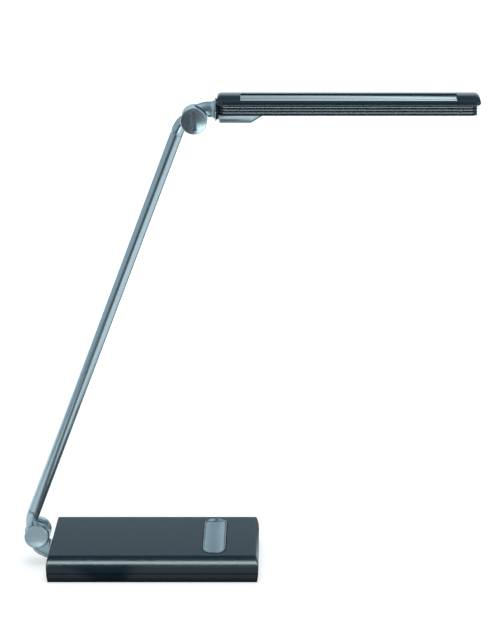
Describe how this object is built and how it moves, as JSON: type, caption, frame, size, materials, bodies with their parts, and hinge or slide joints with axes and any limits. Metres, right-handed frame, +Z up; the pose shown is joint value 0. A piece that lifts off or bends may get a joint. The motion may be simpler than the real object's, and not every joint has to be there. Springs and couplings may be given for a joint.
{
  "type": "folding led desk lamp",
  "caption": "Folding LED desk lamp: weighted rectangular base with a rocker-like push button, slanted tube arm on friction hinges, and a slim bar head that folds and rolls.",
  "frame": {"origin": "centre of the base's rest face, on the table", "axes": "+X from the lower hinge towards the head, +Y away from the viewer, +Z up"},
  "size_m": [0.4364, 0.1094, 0.4652],
  "materials": {
    "slate": "satin",
    "tray": "satin",
    "pad": "matte",
    "steel": "satin",
    "ballast": "satin",
    "black": "matte",
    "silver": "satin",
    "board": "satin",
    "cable": "matte",
    "strip": "satin",
    "white": "satin",
    "led": "gloss",
    "diffuser": "satin"
  },
  "bodies": {
    "base": {"base_cover": "slate", "base_tray": "tray", "rest_pad": "pad", "base_screws": "steel", "ballast_plate": "ballast", "button_well": "black", "button_springs": "steel", "switch_board": "board", "tact_switch": "black", "control_board": "board", "dc_inlet": "black", "base_bracket": "silver", "bracket_screws": "steel", "lower_hinge_bolt": "steel", "lower_hinge_nut": "steel", "lower_rear_cap": "silver"},
    "button": {"power_button": "silver"},
    "arm": {"lower_elbow": "silver", "lower_hinge_cap": "silver", "lower_friction_washer": "black", "arm_tube": "silver", "arm_cable": "cable", "upper_elbow": "silver"},
    "neck": {"neck_elbow": "silver", "upper_hinge_bolt": "silver", "upper_hinge_nut": "steel", "upper_friction_washer": "black", "upper_rear_cap": "silver", "swivel_retainer": "steel"},
    "head": {"swivel_bush": "black", "swivel_washer": "black", "swivel_housing": "silver", "head_body": "slate", "top_strip": "strip", "head_left_cap": "slate", "head_right_cap": "slate", "led_board": "white", "leds": "led", "reflector_frame": "white", "diffuser": "diffuser", "cap_screws": "steel"}
  },
  "joints": [
    {"name": "arm_fold", "type": "hinge", "parent": "base", "child": "arm", "pos_m": [-0.1152, 0, 0.0307], "axis": [0, 1, 0], "range_deg": [-40, 58]},
    {"name": "head_fold", "type": "hinge", "parent": "arm", "child": "neck", "pos_m": [0.04277, 0, 0.44222], "axis": [0, 1, 0], "range_deg": [-70, 110]},
    {"name": "head_roll", "type": "hinge", "parent": "neck", "child": "head", "pos_m": [0.06417, 0, 0.45152], "axis": [1, 0, 0], "range_deg": [-60, 60]},
    {"name": "button_press", "type": "slide", "parent": "base", "child": "button", "axis": [0, 0, -1], "range_m": [0, 0.001], "stiffness_N_per_m": 400, "springref_m": -0.002, "deforming": ["button_springs"]}
  ]
}
